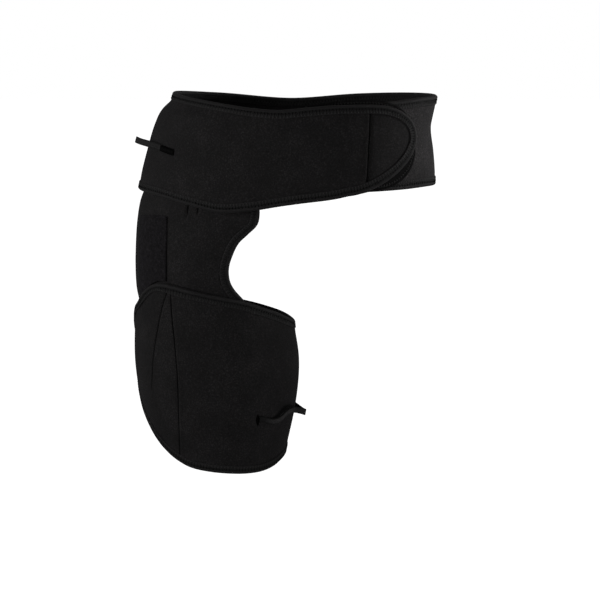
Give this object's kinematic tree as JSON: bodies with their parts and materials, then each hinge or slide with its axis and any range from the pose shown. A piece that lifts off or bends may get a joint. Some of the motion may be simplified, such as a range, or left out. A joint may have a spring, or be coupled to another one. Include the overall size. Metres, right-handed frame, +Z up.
{
  "type": "hip brace",
  "caption": "Bound neoprene hip brace: waist belt with a rounded hook-and-loop tongue, side panel cut away at the groin, wrap round the thigh, and tape pull loops.",
  "frame": {"origin": "middle of the waist opening, level with the middle of the belt, where it sits on the wearer", "axes": "+Z up the wearer, -Y to the wearer's front, -X to the braced side"},
  "size_m": [0.3348, 0.2536, 0.414],
  "materials": {
    "neoprene": "matt knitted nylon face over foam",
    "edge_tape": "folded knitted tape",
    "webbing": "narrow woven tape with a sheen",
    "hook_cloth": "hook fastener",
    "loop_cloth": "brushed loop fastener"
  },
  "bodies": {
    "root": {"waist_belt": "neoprene", "belt_tongue": "neoprene", "belt_hook_tab": "hook_cloth", "belt_binding": "edge_tape", "belt_pull_loop": "webbing", "hip_panel": "neoprene", "hip_binding": "edge_tape", "hip_loop_patch": "loop_cloth", "thigh_front_panel": "neoprene", "thigh_side_panel": "neoprene", "thigh_binding": "edge_tape", "thigh_pull_loop": "webbing"}
  },
  "joints": []
}
